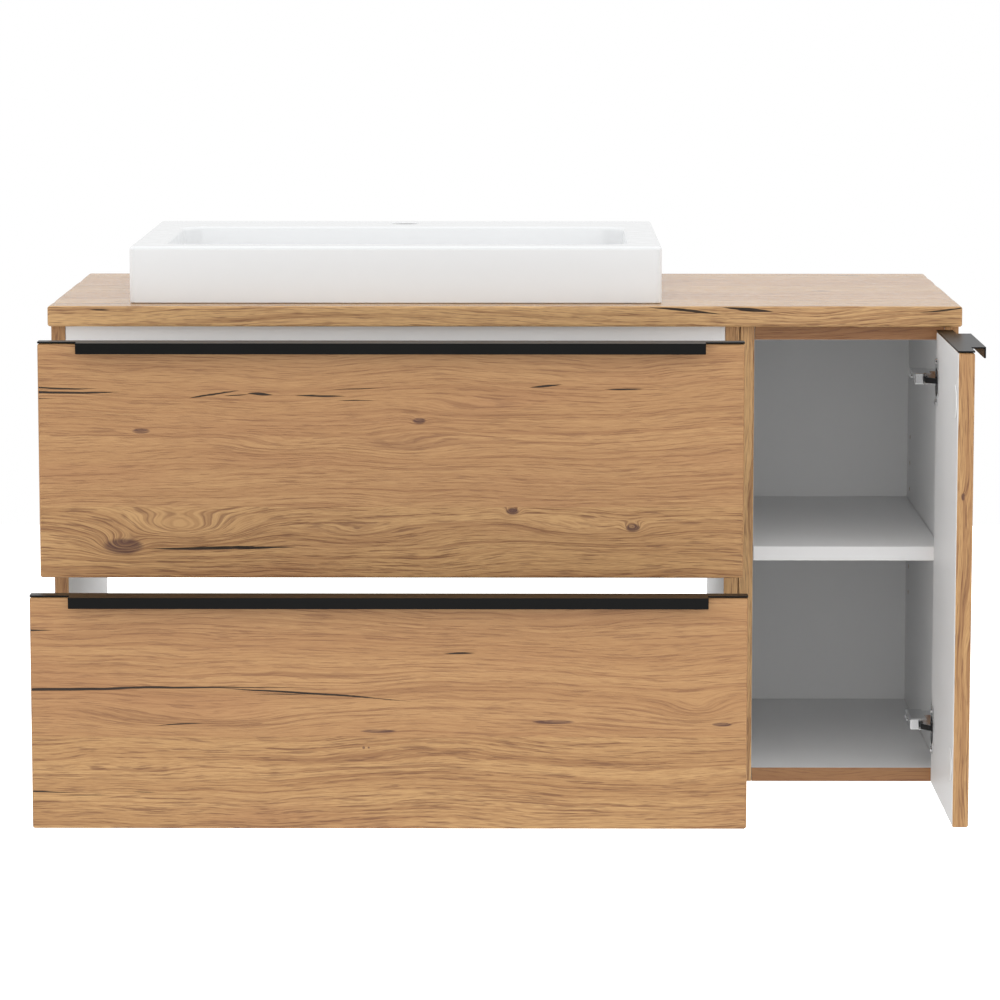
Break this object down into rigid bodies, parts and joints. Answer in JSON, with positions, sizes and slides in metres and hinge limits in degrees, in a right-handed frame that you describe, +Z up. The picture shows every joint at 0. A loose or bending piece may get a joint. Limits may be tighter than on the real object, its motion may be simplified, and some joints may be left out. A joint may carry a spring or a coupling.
{
  "type": "vessel sink on vanity",
  "caption": "Wall-hung oak-decor vanity with a rectangular vessel basin, pull-out drawers and a side cabinet with a hinged door.",
  "frame": {"origin": "middle of the rear face of the sink cabinet's upper back rail, on the wall plane, on the basin's centre line", "axes": "+Z up, -Y out of the wall towards the user, +X to the user's right"},
  "size_m": [1.03, 0.72, 0.6086],
  "materials": {
    "oak_decor": "chipboard faced in wild oak decor with cracks and knots, matt",
    "white_board": "white melamine-faced board, satin",
    "ceramic": "white gloss glaze",
    "black_aluminium": "black anodised, fine brushed",
    "zinc_steel": "bright nickel or zinc plated",
    "chrome": "polished chrome",
    "rubber": "moulded",
    "white_plastic": "moulded, satin"
  },
  "bodies": {
    "carcass": {"worktop": "oak_decor", "basin": "ceramic", "waste_body": "chrome", "waste_gasket": "rubber", "waste_nut": "white_plastic", "sink_cabinet_left_side": "oak_decor", "sink_cabinet_right_side": "oak_decor", "sink_cabinet_bottom": "oak_decor", "sink_cabinet_front_rail": "white_board", "sink_cabinet_upper_back_rail": "white_board", "sink_cabinet_lower_back_rail": "white_board", "hanging_bracket_left": "zinc_steel", "hanging_bracket_right": "zinc_steel", "side_cabinet_left_side": "oak_decor", "side_cabinet_right_side": "oak_decor", "side_cabinet_top": "oak_decor", "side_cabinet_bottom": "oak_decor", "side_cabinet_back": "white_board", "shelf": "white_board", "shelf_pin_front_left": "zinc_steel", "shelf_pin_back_left": "zinc_steel", "shelf_pin_front_right": "zinc_steel", "shelf_pin_back_right": "zinc_steel", "upper_runner_left_outer": "zinc_steel", "upper_runner_right_outer": "zinc_steel", "lower_runner_left_outer": "zinc_steel", "lower_runner_right_outer": "zinc_steel", "upper_hinge_arm": "zinc_steel", "lower_hinge_arm": "zinc_steel"},
    "upper_drawer": {"upper_drawer_front": "oak_decor", "upper_drawer_handle": "black_aluminium", "upper_drawer_back": "white_board", "upper_drawer_bottom": "white_board", "upper_drawer_left_side": "white_board", "upper_drawer_right_side": "white_board", "upper_drawer_siphon_guard": "white_plastic", "upper_runner_left_inner": "zinc_steel", "upper_runner_right_inner": "zinc_steel"},
    "lower_drawer": {"lower_drawer_front": "oak_decor", "lower_drawer_handle": "black_aluminium", "lower_drawer_back": "white_board", "lower_drawer_bottom": "white_board", "lower_drawer_left_side": "white_board", "lower_drawer_right_side": "white_board", "lower_runner_left_inner": "zinc_steel", "lower_runner_right_inner": "zinc_steel"},
    "upper_runner_middles": {"upper_runner_left_middle": "zinc_steel", "upper_runner_right_middle": "zinc_steel"},
    "lower_runner_middles": {"lower_runner_left_middle": "zinc_steel", "lower_runner_right_middle": "zinc_steel"},
    "door": {"door_panel": "oak_decor", "door_handle": "black_aluminium", "upper_hinge_cup": "zinc_steel", "lower_hinge_cup": "zinc_steel", "upper_bore_cap": "white_plastic", "lower_bore_cap": "white_plastic"},
    "hinge_links": {"upper_hinge_link": "zinc_steel", "lower_hinge_link": "zinc_steel"},
    "plug": {"waste_plug": "chrome"}
  },
  "joints": [
    {"name": "upper_drawer_slide", "type": "slide", "parent": "carcass", "child": "upper_drawer", "axis": [0, -1, 0], "range_m": [-0.138, 0.262]},
    {"name": "lower_drawer_slide", "type": "slide", "parent": "carcass", "child": "lower_drawer", "axis": [0, -1, 0], "range_m": [-0.244, 0.156]},
    {"name": "upper_runner_slide", "type": "slide", "parent": "carcass", "child": "upper_runner_middles", "axis": [0, -1, 0], "range_m": [-0.069, 0.131]},
    {"name": "lower_runner_slide", "type": "slide", "parent": "carcass", "child": "lower_runner_middles", "axis": [0, -1, 0], "range_m": [-0.122, 0.078]},
    {"name": "door_hinge", "type": "hinge", "parent": "carcass", "child": "door", "pos_m": [0.6245, -0.4595, -0.2075], "axis": [0, 0, 1], "range_deg": [-90, 15]},
    {"name": "hinge_link_pivot", "type": "hinge", "parent": "carcass", "child": "hinge_links", "pos_m": [0.596, -0.437, -0.2075], "axis": [0, 0, 1], "range_deg": [-7.5, 45]},
    {"name": "plug_lift", "type": "slide", "parent": "carcass", "child": "plug", "axis": [0, 0, 1], "range_m": [0, 0.008]}
  ],
  "couplings": [
    {"joint": "upper_runner_slide", "follows": "upper_drawer_slide", "ratio": 0.5},
    {"joint": "lower_runner_slide", "follows": "lower_drawer_slide", "ratio": 0.5},
    {"joint": "hinge_link_pivot", "follows": "door_hinge", "ratio": -0.5}
  ]
}
